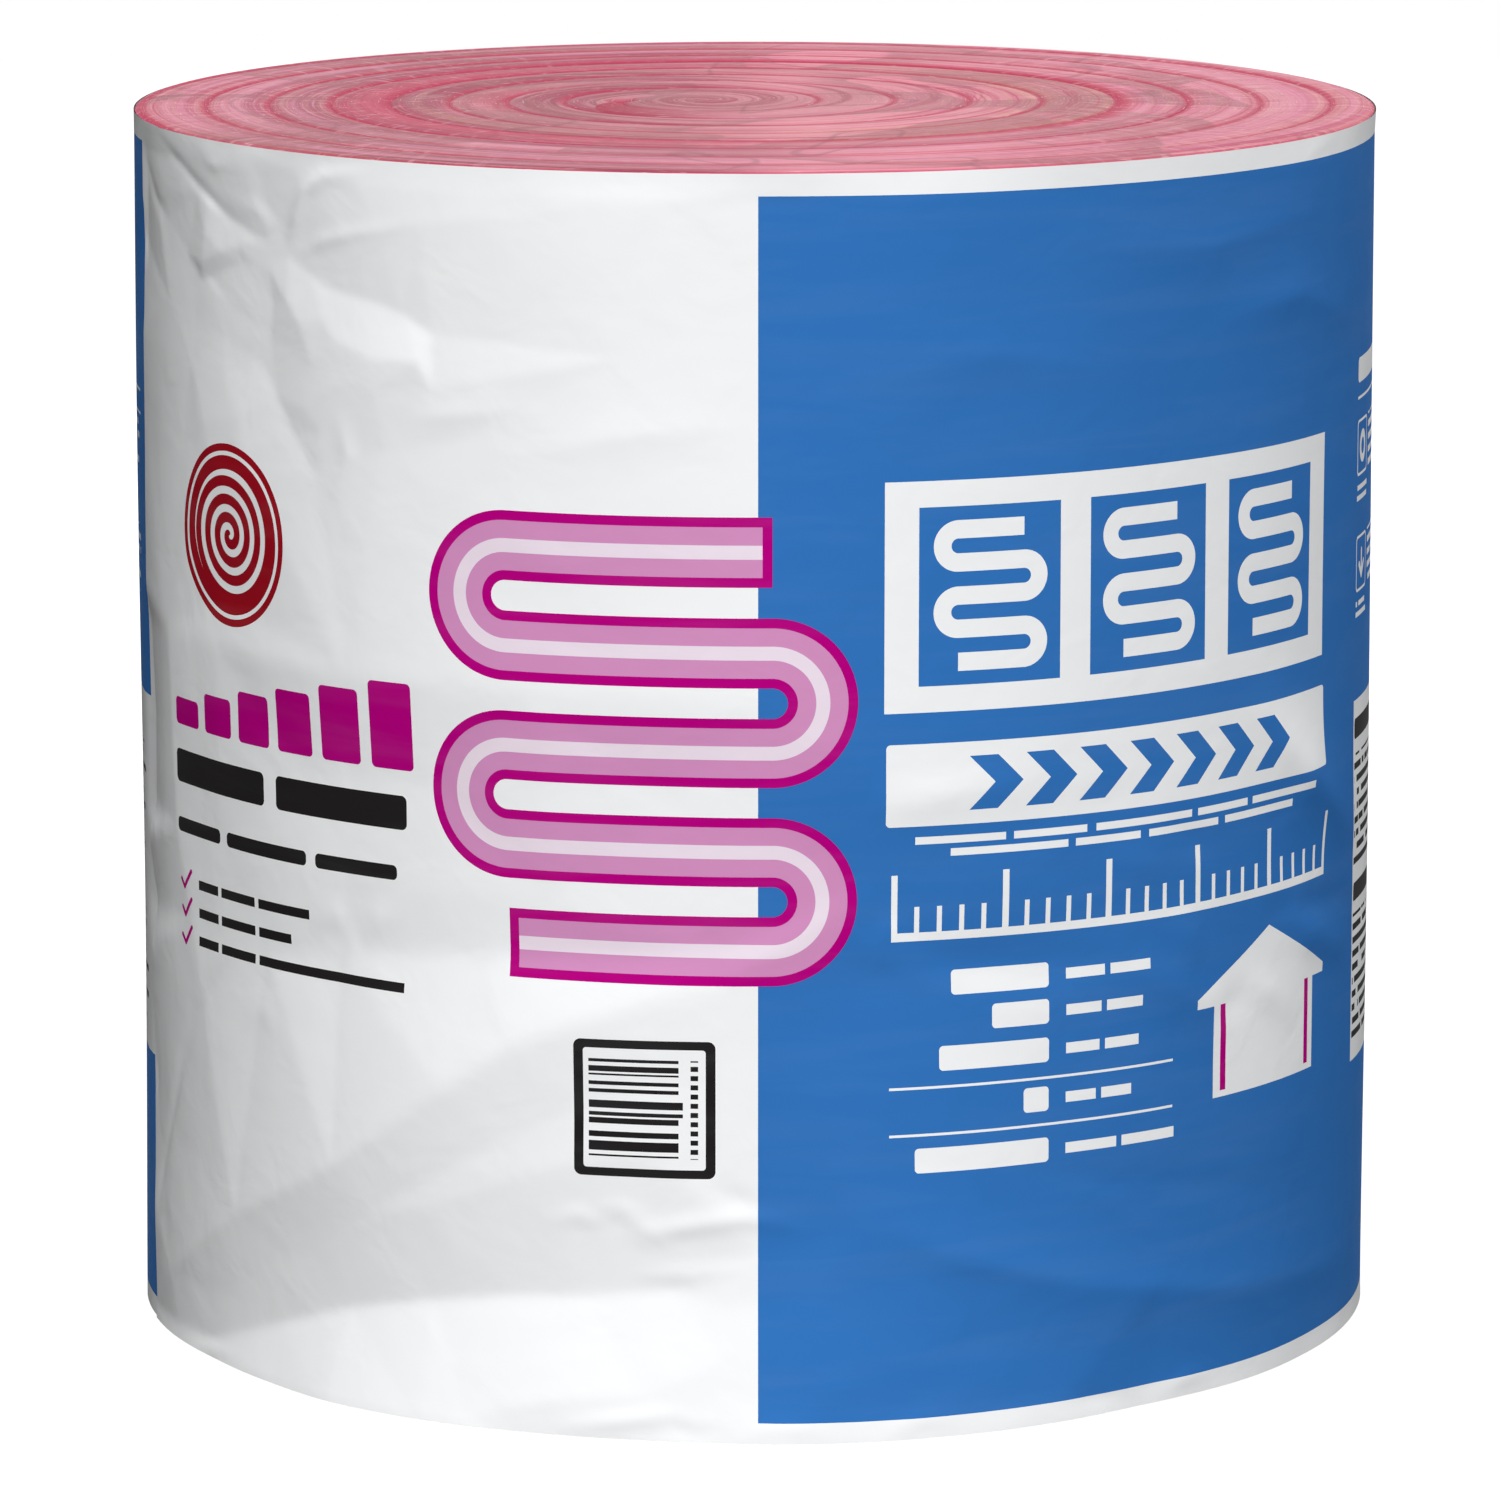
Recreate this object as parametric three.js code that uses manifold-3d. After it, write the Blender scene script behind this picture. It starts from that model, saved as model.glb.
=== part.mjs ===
// Insulation roll: a glass wool blanket wound tight round its own folded inner end, in a film sleeve.
// Millimetres. +Z runs up the roll's axis, -Y is the front, and the origin is on the floor under the axis.
import * as THREE from "three";
import { mergeVertices } from "three/addons/utils/BufferGeometryUtils.js";
import Module from "manifold-3d";

// The wound blanket
const rollDiameter = 595.4;
const blanketWidth = 584.2; // 23 inches, and so the roll's height on its end
const rimRounding = 3; // the soft corner between the side and each end
const turnPitch = 31.9; // one turn's thickness, squeezed by the film
const coreRadius = 38; // the folded inner end of the blanket
const eyeOffset = new THREE.Vector2(-26, 4); // where winding began, off the roll's axis
const eyeDecay = 1.5; // how soon the outer turns run true again
const innerEndAngle = Math.PI; // the fold's mouth, at the left

// The joint between two turns, as it shows on an end
const jointWidth = 9; // between the lips, at the face
const throatWidth = 3.6; // under the rounded lips
const lipDepth = 2.2;
const jointDepth = 8;
const foldMouthRadius = 8.5; // the round hollow where the blanket folds back at the eye
const tailSweep = THREE.MathUtils.degToRad(40); // the last of the joint, which turns out through the rim
const tailRise = 16;

// The film
const filmThickness = 0.5;
const filmClearance = 0.3; // between the film and the wool, and between the layers of the lap
const filmSetback = 1; // the film's edges stop this far short of the roll's ends
const lapFromFront = 396; // the free edge of the lap, left of the front line, along the film
const lapWidth = 32;
const lapRamp = 7; // the stretch in which the top layer comes down onto the wool

// Fineness
const roundSegments = 120;
const roundingSegments = 2;
const mouthSegments = 18;
const chordTolerance = 0.7; // how far a straight step may stray from the spiral
const cutterOverrun = 1; // how far a cutter stands out of the face that it cuts

const rollRadius = rollDiameter / 2;
const TURN = 2 * Math.PI;

const woolMaterial = new THREE.MeshStandardMaterial({ color: 0xdb93a2, roughness: 0.95, metalness: 0 });
const filmMaterial = new THREE.MeshStandardMaterial({ color: 0xe9eaeb, roughness: 0.35, metalness: 0 });

const wasm = await Module();
wasm.setup();

function toSolid(geometry) {
  const bare = geometry.clone();
  bare.deleteAttribute("normal");
  bare.deleteAttribute("uv");
  const merged = mergeVertices(bare);
  const mesh = new wasm.Mesh({
    numProp: 3,
    vertProperties: new Float32Array(merged.attributes.position.array),
    triVerts: new Uint32Array(merged.index.array),
  });
  return new wasm.Manifold(mesh);
}

function toGeometry(solid) {
  const mesh = solid.getMesh();
  const geometry = new THREE.BufferGeometry();
  geometry.setAttribute("position", new THREE.BufferAttribute(mesh.vertProperties, 3));
  geometry.setIndex(new THREE.BufferAttribute(mesh.triVerts, 1));
  geometry.computeVertexNormals();
  return geometry;
}

// A solid of revolution about +Z from a profile of (radius, height) points.
function turned(profile, segments) {
  return new THREE.LatheGeometry(profile, segments).rotateX(Math.PI / 2);
}

// The joint between the turns on the end at height faceZ: a spiral whose centre drifts from the eye to the axis.
class TurnJoint extends THREE.Curve {
  constructor(faceZ) {
    super();
    this.faceZ = faceZ;
  }

  // Steps shorten in angle as the turns widen, so that each strays equally from the spiral.
  getPoint(t, target = new THREE.Vector3()) {
    const span = rollRadius ** 1.5 - coreRadius ** 1.5;
    const radius = (coreRadius ** 1.5 + t * span) ** (2 / 3);
    const angle = innerEndAngle + (TURN * (radius - coreRadius)) / turnPitch;
    const drift = Math.max(0, (rollRadius - radius) / (rollRadius - coreRadius)) ** eyeDecay;
    const tailStart = rollRadius - (turnPitch * tailSweep) / TURN;
    const inTail = Math.max(0, (radius - tailStart) / (rollRadius - tailStart));
    const reach = radius + tailRise * inTail ** 2;
    return target.set(
      eyeOffset.x * drift + reach * Math.cos(angle),
      eyeOffset.y * drift + reach * Math.sin(angle),
      this.faceZ,
    );
  }

  getUtoTmapping(u) {
    return u;
  }

  static steps() {
    const span = rollRadius ** 1.5 - coreRadius ** 1.5;
    return Math.ceil((TURN / turnPitch) * (2 / 3) * (span / Math.sqrt(8 * chordTolerance)));
  }
}

// Section of the joint, as (depth into the face, distance across); inward is 1 on the top end and -1 below.
function jointSection(inward) {
  const lipSlope = (jointWidth - throatWidth) / 2 / lipDepth;
  const openHalf = jointWidth / 2 + lipSlope * cutterOverrun;
  return new THREE.Shape([
    new THREE.Vector2(-cutterOverrun * inward, -openHalf),
    new THREE.Vector2(lipDepth * inward, -throatWidth / 2),
    new THREE.Vector2(jointDepth * inward, 0),
    new THREE.Vector2(lipDepth * inward, throatWidth / 2),
    new THREE.Vector2(-cutterOverrun * inward, openHalf),
  ]);
}

// The hollow of the fold at the eye, its mouth on the face.
function foldMouth(place, inward) {
  const lipSlope = (jointWidth - throatWidth) / 2 / lipDepth;
  const waist = foldMouthRadius - lipSlope * lipDepth;
  const profile = [
    new THREE.Vector2(0, -jointDepth),
    new THREE.Vector2(waist, -lipDepth),
    new THREE.Vector2(foldMouthRadius + lipSlope * cutterOverrun, cutterOverrun),
    new THREE.Vector2(0, cutterOverrun),
  ];
  const cone = turned(profile, mouthSegments);
  if (inward < 0) cone.rotateX(Math.PI);
  return cone.translate(place.x, place.y, place.z);
}

function jointCutter(faceZ, inward) {
  const route = new TurnJoint(faceZ);
  const groove = new THREE.ExtrudeGeometry(jointSection(inward), {
    steps: TurnJoint.steps(),
    extrudePath: route,
    bevelEnabled: false,
  });
  return toSolid(groove).add(toSolid(foldMouth(route.getPoint(0), inward)));
}

// Points of the soft corner at the rim, from the angle given, for a corner whose centre is at centreZ.
function rimCorner(centreZ, fromAngle) {
  const points = [];
  for (let i = 0; i <= roundingSegments; i += 1) {
    const angle = fromAngle + ((Math.PI / 2) * i) / roundingSegments;
    const x = rollRadius - rimRounding + rimRounding * Math.cos(angle);
    points.push(new THREE.Vector2(x, centreZ + rimRounding * Math.sin(angle)));
  }
  return points;
}

function woolRoll() {
  const profile = [
    new THREE.Vector2(0, 0),
    ...rimCorner(rimRounding, -Math.PI / 2),
    ...rimCorner(blanketWidth - rimRounding, 0),
    new THREE.Vector2(0, blanketWidth),
  ];
  const body = toSolid(turned(profile, roundSegments));
  const wound = body.subtract(jointCutter(blanketWidth, 1)).subtract(jointCutter(0, -1));
  return toGeometry(wound);
}

// A point of the sleeve's section, at an angle counted from the front towards the right.
function aroundAxis(radius, angle) {
  return new THREE.Vector2(radius * Math.sin(angle), -radius * Math.cos(angle));
}

function filmSleeve() {
  const innerRadius = rollRadius + filmClearance;
  const layerRise = filmThickness + filmClearance;
  const edgeAngle = -lapFromFront / innerRadius;
  const lapAngle = lapWidth / innerRadius;
  const rampStart = lapAngle + layerRise / innerRadius;
  const rampEnd = rampStart + lapRamp / innerRadius;
  const facet = TURN / roundSegments;

  // Stations along the film from the free edge of the top layer, as [angle, inner radius].
  const stations = [];
  const lapFacets = Math.ceil(lapAngle / facet);
  for (let i = 0; i <= lapFacets; i += 1) {
    stations.push([(rampStart * i) / lapFacets, innerRadius + layerRise]);
  }
  const restFacets = Math.ceil((TURN + lapAngle - rampEnd) / facet);
  for (let i = 0; i <= restFacets; i += 1) {
    stations.push([rampEnd + ((TURN + lapAngle - rampEnd) * i) / restFacets, innerRadius]);
  }

  const inside = stations.map(([angle, radius]) => aroundAxis(radius, edgeAngle + angle));
  const outside = stations.map(([angle, radius]) => aroundAxis(radius + filmThickness, edgeAngle + angle));
  const section = new THREE.Shape([...inside, ...outside.reverse()]);
  const height = blanketWidth - 2 * filmSetback;
  return new THREE.ExtrudeGeometry(section, { depth: height, steps: 1, bevelEnabled: false });
}

const insulationRoll = new THREE.Group();

const wool = new THREE.Mesh(woolRoll(), woolMaterial);
wool.name = "wool_roll";
insulationRoll.add(wool);

const sleeve = new THREE.Mesh(filmSleeve(), filmMaterial);
sleeve.name = "film_sleeve";
sleeve.position.z = filmSetback;
insulationRoll.add(sleeve);

export default insulationRoll;
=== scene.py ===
import copy
import math
import random

import bmesh
import bpy
import numpy as np
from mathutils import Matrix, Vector
from mathutils.geometry import delaunay_2d_cdt


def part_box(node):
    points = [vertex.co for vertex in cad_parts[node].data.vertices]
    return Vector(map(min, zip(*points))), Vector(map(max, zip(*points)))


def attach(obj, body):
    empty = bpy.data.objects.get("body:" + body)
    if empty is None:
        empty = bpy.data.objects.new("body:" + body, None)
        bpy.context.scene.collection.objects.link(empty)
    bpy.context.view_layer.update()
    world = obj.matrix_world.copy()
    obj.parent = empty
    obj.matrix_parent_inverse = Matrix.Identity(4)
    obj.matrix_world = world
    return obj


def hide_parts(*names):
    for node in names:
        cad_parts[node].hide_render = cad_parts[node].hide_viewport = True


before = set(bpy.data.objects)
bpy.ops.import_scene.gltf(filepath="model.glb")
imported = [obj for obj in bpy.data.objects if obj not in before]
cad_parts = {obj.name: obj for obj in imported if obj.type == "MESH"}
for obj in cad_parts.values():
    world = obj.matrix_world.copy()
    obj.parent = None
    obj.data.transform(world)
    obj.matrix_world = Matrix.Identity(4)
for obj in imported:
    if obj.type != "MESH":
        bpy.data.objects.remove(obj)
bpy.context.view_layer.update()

# An insulation roll on its end: a blanket of dyed glass wool, wound up tight and held by a printed film
# sleeve. Metres, +Z up along the roll's axis, -Y the front. Print and folds are placed in millimetres on
# the film laid flat: the first number runs to the right from the front line, round the roll, and the second
# is the height above the floor.

MM = 0.001
FULL_TURN = 2 * math.pi

wool_low, wool_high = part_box("wool_roll")
ROLL_RADIUS = (wool_high[0] - wool_low[0]) / 2
ROLL_HEIGHT = wool_high[2]

# The winding, as the solids have it
TURN_PITCH = 31.9 * MM
CORE_RADIUS = 38 * MM
EYE_OFFSET = Vector((-26 * MM, 4 * MM))
EYE_DECAY = 1.5
WIND_END = FULL_TURN * (ROLL_RADIUS - CORE_RADIUS) / TURN_PITCH
TAIL_SWEEP = math.radians(40)
TAIL_RISE = 16 * MM

# The film, as the solids have it
FILM_RADIUS = ROLL_RADIUS + 0.55 * MM
LAP_FROM_FRONT = 396 * MM
LAP_WIDTH = 32 * MM
LAP_RISE = 0.8 * MM
LAP_RAMP = 45 * MM
FILM_LENGTH = FULL_TURN * FILM_RADIUS + LAP_WIDTH
FILM_FOOT = 0.3 * MM
FILM_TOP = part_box("film_sleeve")[1][2]


# ---------------------------------------------------------------- helpers


def finish_mesh(name, bm):
    """Puts a bmesh into the scene as one piece with smooth shading."""
    mesh = bpy.data.meshes.new(name)
    bm.to_mesh(mesh)
    bm.free()
    for polygon in mesh.polygons:
        polygon.use_smooth = True
    piece = bpy.data.objects.new(name, mesh)
    bpy.context.collection.objects.link(piece)
    return piece


def new_material(name):
    material = bpy.data.materials.new(name)
    material.use_nodes = True
    return material


class Net:
    """Adds nodes to a material or a world."""

    def __init__(self, tree):
        self.nodes = tree.nodes
        self.links = tree.links

    def add(self, kind, **settings):
        node = self.nodes.new(kind)
        for name, value in settings.items():
            setattr(node, name, value)
        return node

    def feed(self, socket, value):
        if isinstance(value, bpy.types.NodeSocket):
            self.links.new(value, socket)
        else:
            socket.default_value = value

    def calc(self, operation, *values):
        node = self.add("ShaderNodeMath", operation=operation)
        for socket, value in zip(node.inputs, values):
            self.feed(socket, value)
        return node.outputs[0]

    def vector(self, operation, first, second=None):
        node = self.add("ShaderNodeVectorMath", operation=operation)
        self.feed(node.inputs[0], first)
        if second is not None:
            self.feed(node.inputs[1], second)
        return node.outputs["Value" if operation in ("LENGTH", "DOT_PRODUCT") else "Vector"]

    def ramp(self, value, start, full, bottom=0.0, top=1.0):
        """From the bottom level at start to the top level at full, smooth between and level outside. Start
        may be the higher of the two."""
        node = self.add("ShaderNodeMapRange", interpolation_type="SMOOTHSTEP")
        for socket, number in zip(node.inputs, (value, start, full, bottom, top)):
            self.feed(socket, number)
        return node.outputs[0]


class Drawing(Net):
    """Draws a material's colour in two coordinates that lie on the piece."""

    def __init__(self, material, map_name):
        super().__init__(material.node_tree)
        self.shader = self.nodes["Principled BSDF"]
        self.place = self.add("ShaderNodeUVMap", uv_map=map_name).outputs[0]
        self.u, self.z = self.parts(self.place)
        self.colour = None

    def both(self, first, second):
        """One mask inside another, or one number times another."""
        return self.calc("MULTIPLY", first, second)

    def less(self, first, second):
        return self.calc("SUBTRACT", first, second)

    def off_level(self, value, level):
        """How far a value is from a level, on either side."""
        return self.calc("ABSOLUTE", self.less(value, level))

    def distance(self, across, up):
        """How far away a place is that lies this far across and this far up."""
        return self.calc("SQRT", self.calc("ADD", self.both(across, across), self.both(up, up)))

    def parts(self, vector):
        """The first two numbers of a place."""
        split = self.add("ShaderNodeSeparateXYZ")
        self.links.new(vector, split.inputs[0])
        return split.outputs[0], split.outputs[1]

    def point(self, x, y, z=0.0):
        node = self.add("ShaderNodeCombineXYZ")
        for socket, value in zip(node.inputs, (x, y, z)):
            self.feed(socket, value)
        return node.outputs[0]

    def noise(self, vector, scale, detail=2.0, roughness=0.5, distortion=0.0):
        node = self.add("ShaderNodeTexNoise")
        self.feed(node.inputs["Vector"], vector)
        node.inputs["Scale"].default_value = scale
        node.inputs["Detail"].default_value = detail
        node.inputs["Roughness"].default_value = roughness
        node.inputs["Distortion"].default_value = distortion
        return node.outputs["Fac"]

    def lay(self, colour, mask):
        """Lays a colour over what is there, where the mask is 1."""
        node = self.add("ShaderNodeMix", data_type="RGBA")
        self.feed(node.inputs[0], mask)
        self.feed(node.inputs[6], self.colour)
        self.feed(node.inputs[7], colour)
        self.colour = node.outputs[2]

    def finish(self, roughness, specular, relief, strength, depth):
        """Joins the colour and a relief, whose depth is in metres, to the material's shader."""
        self.links.new(self.colour, self.shader.inputs["Base Color"])
        self.links.new(roughness, self.shader.inputs["Roughness"])
        self.shader.inputs["Specular IOR Level"].default_value = specular
        bump = self.add("ShaderNodeBump")
        bump.inputs["Strength"].default_value = strength
        bump.inputs["Distance"].default_value = depth
        self.feed(bump.inputs["Height"], relief)
        self.links.new(bump.outputs[0], self.shader.inputs["Normal"])


def ink(red, green, blue):
    """A print colour given in 0 to 255, as linear light."""
    def linear(level):
        part = level / 255
        return part / 12.92 if part <= 0.04045 else ((part + 0.055) / 1.055) ** 2.4

    return (linear(red), linear(green), linear(blue), 1.0)


# ---------------------------------------------------------------- the wound blanket

# The blanket's section: its rounded edges and rim, its swell and waves, the waist that draws its hidden
# sides in from the film, and the mouth of the fold at the eye
STATIONS_PER_TURN = 144
WOOL_ACROSS = 17
LIP_WIDTH = 5 * MM
LIP_DEPTH = 0.5 * MM
LIP_CURVE = 2.2
RIM_WIDTH = 4 * MM
RIM_DEPTH = 1.4 * MM
LEVEL_BAND = 14 * MM
FULL_THICKNESS = 12 * MM
CROWN = 0.5 * MM
WAVE_HEIGHT = 0.8 * MM
WAVE_SEED = 7
WAVE_COUNT = 5
WAVE_RATES = (0.3, 2.6)
HAIRLINE = 0.02 * MM
WAIST = 8 * MM
WAIST_FROM_END = 6 * MM
MOUTH_RADIUS = 8.5 * MM
MOUTH_DEPTH = 3 * MM
MOUTH_CURVE = 0.7
OPENS_BEFORE_FOLD = 0.1
OPENS_OVER = 0.5
LOWER_END_MAP = 0.2
MERGE_GAP = 0.01 * MM
SLIVER = 0.001 * MM


def joint_point(wind):
    """The joint outside a turn, at a winding angle that is counted from the fold at the eye."""
    if wind < 0:
        radius = max(0.0, CORE_RADIUS * (1 + wind / FULL_TURN))
        return EYE_OFFSET + radius * Vector((-math.cos(wind), -math.sin(wind)))
    radius = min(CORE_RADIUS + TURN_PITCH * wind / FULL_TURN, ROLL_RADIUS)
    drift = ((ROLL_RADIUS - radius) / (ROLL_RADIUS - CORE_RADIUS)) ** EYE_DECAY
    tail_start = ROLL_RADIUS - TURN_PITCH * TAIL_SWEEP / FULL_TURN
    in_tail = max(0.0, (radius - tail_start) / (ROLL_RADIUS - tail_start))
    radius = min(ROLL_RADIUS, radius + TAIL_RISE * in_tail ** 2)
    return EYE_OFFSET * drift + radius * Vector((-math.cos(wind), -math.sin(wind)))


def openness(wind):
    """How far the joint gapes: shut inside the core, open from the fold outwards."""
    return min(1.0, max(0.0, (wind + OPENS_BEFORE_FOLD) / OPENS_OVER))


def slow_wave(wind, seed):
    """A smooth random height between -1 and 1 along the blanket."""
    draw = random.Random(seed)
    total = 0.0
    for _ in range(WAVE_COUNT):
        total += math.sin(wind * draw.uniform(*WAVE_RATES) + draw.uniform(0, FULL_TURN))
    return total / WAVE_COUNT


def lip(distance, depth, width):
    """How far a rounded edge drops at a distance from it."""
    if distance >= width:
        return 0.0
    return depth * (1 - distance / width) ** LIP_CURVE


def blanket_section(wind):
    """The blanket's section at one station, as (place, height) round it from the inner top corner."""
    inner = joint_point(wind - FULL_TURN)
    outer = joint_point(wind)
    across = outer - inner
    thickness = across.length
    thin = min(1.0, thickness / FULL_THICKNESS)
    wave = WAVE_HEIGHT * slow_wave(wind, WAVE_SEED)
    top, bottom = [], []
    for j in range(WOOL_ACROSS):
        part = (1 - math.cos(math.pi * j / (WOOL_ACROSS - 1))) / 2
        if thickness > 4 * HAIRLINE:
            margin = HAIRLINE / thickness
            part = margin + part * (1 - 2 * margin)
        place = inner + across * part
        to_rim = ROLL_RADIUS - place.length
        inner_lip = lip(part * thickness, LIP_DEPTH * thin * openness(wind - FULL_TURN), LIP_WIDTH)
        outer_lip = lip((1 - part) * thickness, LIP_DEPTH * thin * openness(wind), LIP_WIDTH)
        rim_lip = lip(max(0.0, to_rim), RIM_DEPTH, RIM_WIDTH)
        to_mouth = (place - joint_point(0)).length
        mouth = MOUTH_DEPTH * max(0.0, 1 - to_mouth / MOUTH_RADIUS) ** MOUTH_CURVE
        drop = max(inner_lip, outer_lip, rim_lip, mouth)
        level = min(1.0, max(0.0, to_rim) / LEVEL_BAND)
        swell = (wave + CROWN) * math.sin(math.pi * part) * thin * level
        top.append((place, ROLL_HEIGHT + swell - drop))
        bottom.append((place, drop))
    waist_top = ROLL_HEIGHT - WAIST_FROM_END
    outer_waist = outer * (1 - WAIST / max(outer.length, WAIST))
    inner_waist = inner * (1 - WAIST / max(inner.length, WAIST))
    outer_side = [(outer_waist, waist_top), (outer_waist, WAIST_FROM_END)]
    inner_side = [(inner_waist, WAIST_FROM_END), (inner_waist, waist_top)]
    return top + outer_side + bottom[::-1] + inner_side + top[:1]


def wind_blanket():
    """The blanket's skin as a flat grid, rolled up station by station and closed along its edge."""
    winds = WIND_END + 2 * FULL_TURN
    stations = round(STATIONS_PER_TURN * winds / FULL_TURN)
    round_section = 2 * WOOL_ACROSS + 4
    bm = bmesh.new()
    bmesh.ops.create_grid(bm, x_segments=stations, y_segments=round_section, size=1)
    sections, along = [], [0.0]
    for i in range(stations + 1):
        wind = -FULL_TURN + winds * i / stations
        sections.append(blanket_section(wind))
        if i:
            middle = WOOL_ACROSS // 2
            along.append(along[-1] + (sections[i][middle][0] - sections[i - 1][middle][0]).length)
    lay = bm.loops.layers.uv.new("Lay")
    turn = bm.loops.layers.uv.new("Turn")
    spot, turns = {}, {}
    for vert in bm.verts:
        i = round((vert.co.x + 1) / 2 * stations)
        k = round((vert.co.y + 1) / 2 * round_section)
        place, height = sections[i][k]
        first = sections[i][0][0]
        last = sections[i][WOOL_ACROSS - 1][0]
        inward = k / round_section
        if k < WOOL_ACROSS or k == round_section:
            inward = (place - first).length
        elif k >= WOOL_ACROSS + 2:
            inward = LOWER_END_MAP + (place - last).length
        spot[vert] = (along[i], inward)
        turns[vert] = ((place - last).length, winds * i / stations / FULL_TURN - 1)
        vert.co = (place.x, place.y, height)
    for face in bm.faces:
        for loop in face.loops:
            loop[lay].uv = spot[loop.vert]
            loop[turn].uv = turns[loop.vert]
    bmesh.ops.remove_doubles(bm, verts=bm.verts, dist=MERGE_GAP)
    bmesh.ops.dissolve_degenerate(bm, edges=bm.edges, dist=SLIVER)
    bmesh.ops.recalc_face_normals(bm, faces=bm.faces)
    return finish_mesh("wound_blanket", bm)


# Tones of the dyed wool, from the whole blanket to single fibres, with painted shade, light, highlight and
# shadow among them
DYED = ink(210, 124, 141)
# Painted shade for the left of the end, and painted light for just right of its middle
LEFT_PAINTED_SHADE = ink(132, 60, 76)
RIGHT_PAINTED_LIGHT = ink(255, 172, 188)
LIGHT_BAND = ink(226, 150, 172)
DARK_BAND = ink(188, 98, 128)
BEIGE_LAYER = ink(212, 154, 140)
ROSE_LAYER = ink(190, 70, 100)
LIGHT_THREAD = ink(232, 162, 172)
DARK_THREAD = ink(180, 64, 94)
FINE_THREAD = ink(170, 56, 90)
# A painted highlight in lilac, for the middle of each outer turn
LILAC_PAINTED_HIGHLIGHT = ink(228, 150, 176)
LIGHT_SWIRL = ink(230, 156, 166)
DARK_SWIRL = ink(176, 82, 104)
# Painted shade that deepens the swirl on the left
SWIRL_PAINTED_SHADE = ink(150, 80, 94)
SWIRL_VEIN = ink(190, 62, 92)
# Painted shadow, in patches
PAINTED_SHADOW_PATCH = ink(166, 106, 112)
WORN = ink(176, 116, 116)
# Painted shade along faint creases
PAINTED_CREASE_SHADE = ink(134, 84, 94)
NEAR_JOINT = ink(196, 58, 92)
IN_FOLD = ink(168, 44, 74)
FOLD_EDGE = ink(170, 34, 70)
FOLD_TIP = ink(176, 56, 84)
JOINT_LINE = ink(184, 40, 80)
LIGHT_END = ink(240, 186, 196)
DARK_END = ink(168, 92, 108)
LOOSE_FIBRE = ink(244, 206, 208)

SWIRL = 5.0
SWIRL_START = 0.004
SWIRL_ARMS = 1.7
SWIRL_CHANGE = 9.0
WOOL_GLOSS = 0.1
WOOL_SHEEN = 0.1


class WoolFace(Drawing):
    """Draws the blanket's cut ends, in places along and across the blanket laid flat."""

    def __init__(self, material):
        super().__init__(material, "Lay")
        wound = self.add("ShaderNodeUVMap", uv_map="Turn").outputs[0]
        self.to_outer, self.turns = self.parts(wound)
        self.solid = self.add("ShaderNodeTexCoord").outputs["Object"]
        self.rightward, self.backward = self.parts(self.solid)

        # Streaks along the blanket, from broad ones to single fibres, and cut ends that lie across it
        self.bands = self.streaks(1.3, 48.0, 1.0, 2.0, 0.4)
        self.layers = self.streaks(2.4, 150.0, 4.0, 3.0, 0.3)
        self.threads = self.streaks(5.0, 420.0, 9.0, 3.0)
        self.fine = self.streaks(16.0, 900.0, 15.0, 2.0)
        self.fibres = self.streaks(85.0, 1100.0, 12.0, 2.0)
        self.ends = self.streaks(170.0, 50.0, 21.0, 2.0)

        # The parts of the end that differ: the inner turns, the two sides, and the swirl at the eye
        self.core = self.ramp(self.turns, 5.6, 4.4)
        self.sideways = self.ramp(self.calc("ABSOLUTE", self.rightward), 0.08, 0.17)
        aside, behind, radius = self.from_spot(EYE_OFFSET)
        self.swirl = self.swirl_pattern(aside, behind, radius)
        self.swirled = self.ramp(radius, 0.18, 0.1)
        self.calm = self.less(1.0, self.both(self.swirled, 0.6))
        self.marbled = self.both(self.calc("MULTIPLY_ADD", self.core, 0.5, 0.45), self.calm)

    def streaks(self, along, across, shift, detail, distortion=0.0):
        """Streaks of about so many to the metre along the blanket and across it."""
        place = self.point(self.both(self.u, along), self.both(self.z, across), shift)
        return self.noise(place, 1.0, detail, 0.6, distortion)

    def from_spot(self, spot):
        """How far to the right of a spot on the end a place lies, how far behind it, and how far away."""
        aside = self.less(self.rightward, spot.x)
        behind = self.less(self.backward, spot.y)
        return aside, behind, self.distance(aside, behind)

    def swirl_pattern(self, aside, behind, radius):
        """Layers that run outwards from the eye in arms, faster than the turns do."""
        grown = self.calc("LOGARITHM", self.calc("ADD", radius, SWIRL_START), math.e)
        arm = self.less(self.calc("ARCTAN2", behind, aside), self.both(grown, SWIRL))
        ring = [self.both(self.calc(side, arm), SWIRL_ARMS) for side in ("COSINE", "SINE")]
        return self.noise(self.point(*ring, self.both(radius, SWIRL_CHANGE)), 1.0, 2.0, 0.5)

    def tint(self, colour, mask, amount):
        """Lays a share of a colour where the mask is 1."""
        self.lay(colour, self.both(mask, amount))


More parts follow.
